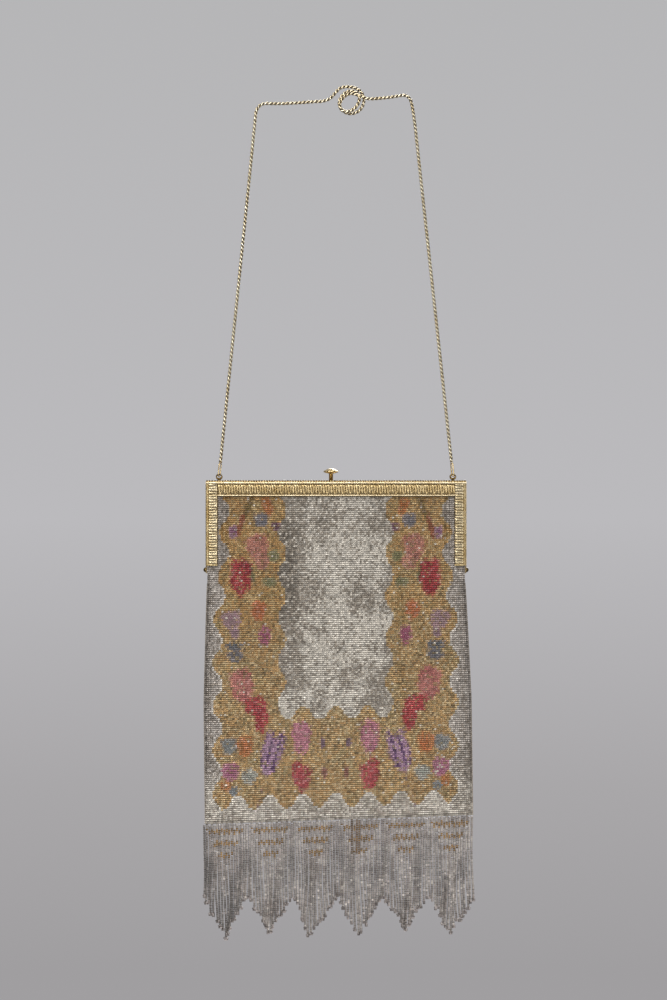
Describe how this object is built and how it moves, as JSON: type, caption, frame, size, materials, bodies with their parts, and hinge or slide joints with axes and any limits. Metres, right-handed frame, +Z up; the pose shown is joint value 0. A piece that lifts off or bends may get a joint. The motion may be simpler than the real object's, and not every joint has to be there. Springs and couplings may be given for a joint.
{
  "type": "beaded purse",
  "caption": "Flat beaded evening purse with a hinged gilt frame, a push-button clasp, a pointed bead fringe and a rope chain tied up in a loop.",
  "frame": {"origin": "hang point, at the middle of the chain's top run between its two supports", "axes": "+Z up, +X to the viewer's right, front of the purse towards -Y"},
  "size_m": [0.1805, 0.0148, 0.5696],
  "materials": {
    "gilt_brass": "satin, worn, dark in the recesses",
    "gilt_chain": "satin",
    "steel_bead_cloth": "cut steel beads in silver, gold and flower colours, partly tarnished",
    "steel_bead_strands": "cut steel beads, partly tarnished",
    "spring_steel": "dull"
  },
  "bodies": {
    "chain": {"chain_left_run": "gilt_chain", "chain_right_run": "gilt_chain", "chain_coil": "gilt_chain", "end_links": "gilt_brass"},
    "purse": {"back_frame": "gilt_brass", "back_ornament": "gilt_brass", "hinge_pins": "gilt_brass", "chain_eyes": "gilt_brass", "clasp_spring": "spring_steel", "back_panel": "steel_bead_cloth", "front_panel": "steel_bead_cloth", "fringe": "steel_bead_strands"},
    "front_half": {"front_frame": "gilt_brass", "front_ornament": "gilt_brass", "clasp_striker": "gilt_brass", "front_flap": "steel_bead_cloth"},
    "button": {"clasp_button": "gilt_brass", "latch_plate": "gilt_brass"}
  },
  "joints": [
    {"name": "purse_swing", "type": "hinge", "parent": "chain", "child": "purse", "pos_m": [0, 0, -0.2496], "axis": [1, 0, 0], "range_deg": [-60, 60]},
    {"name": "frame_hinge", "type": "hinge", "parent": "purse", "child": "front_half", "pos_m": [0, 0, -0.31398], "axis": [1, 0, 0], "range_deg": [0, 60]},
    {"name": "button_press", "type": "slide", "parent": "purse", "child": "button", "axis": [0, 0, -1], "range_m": [0, 0.0018], "stiffness_N_per_m": 600, "springref_m": -0.0015, "deforming": ["clasp_spring"]}
  ]
}
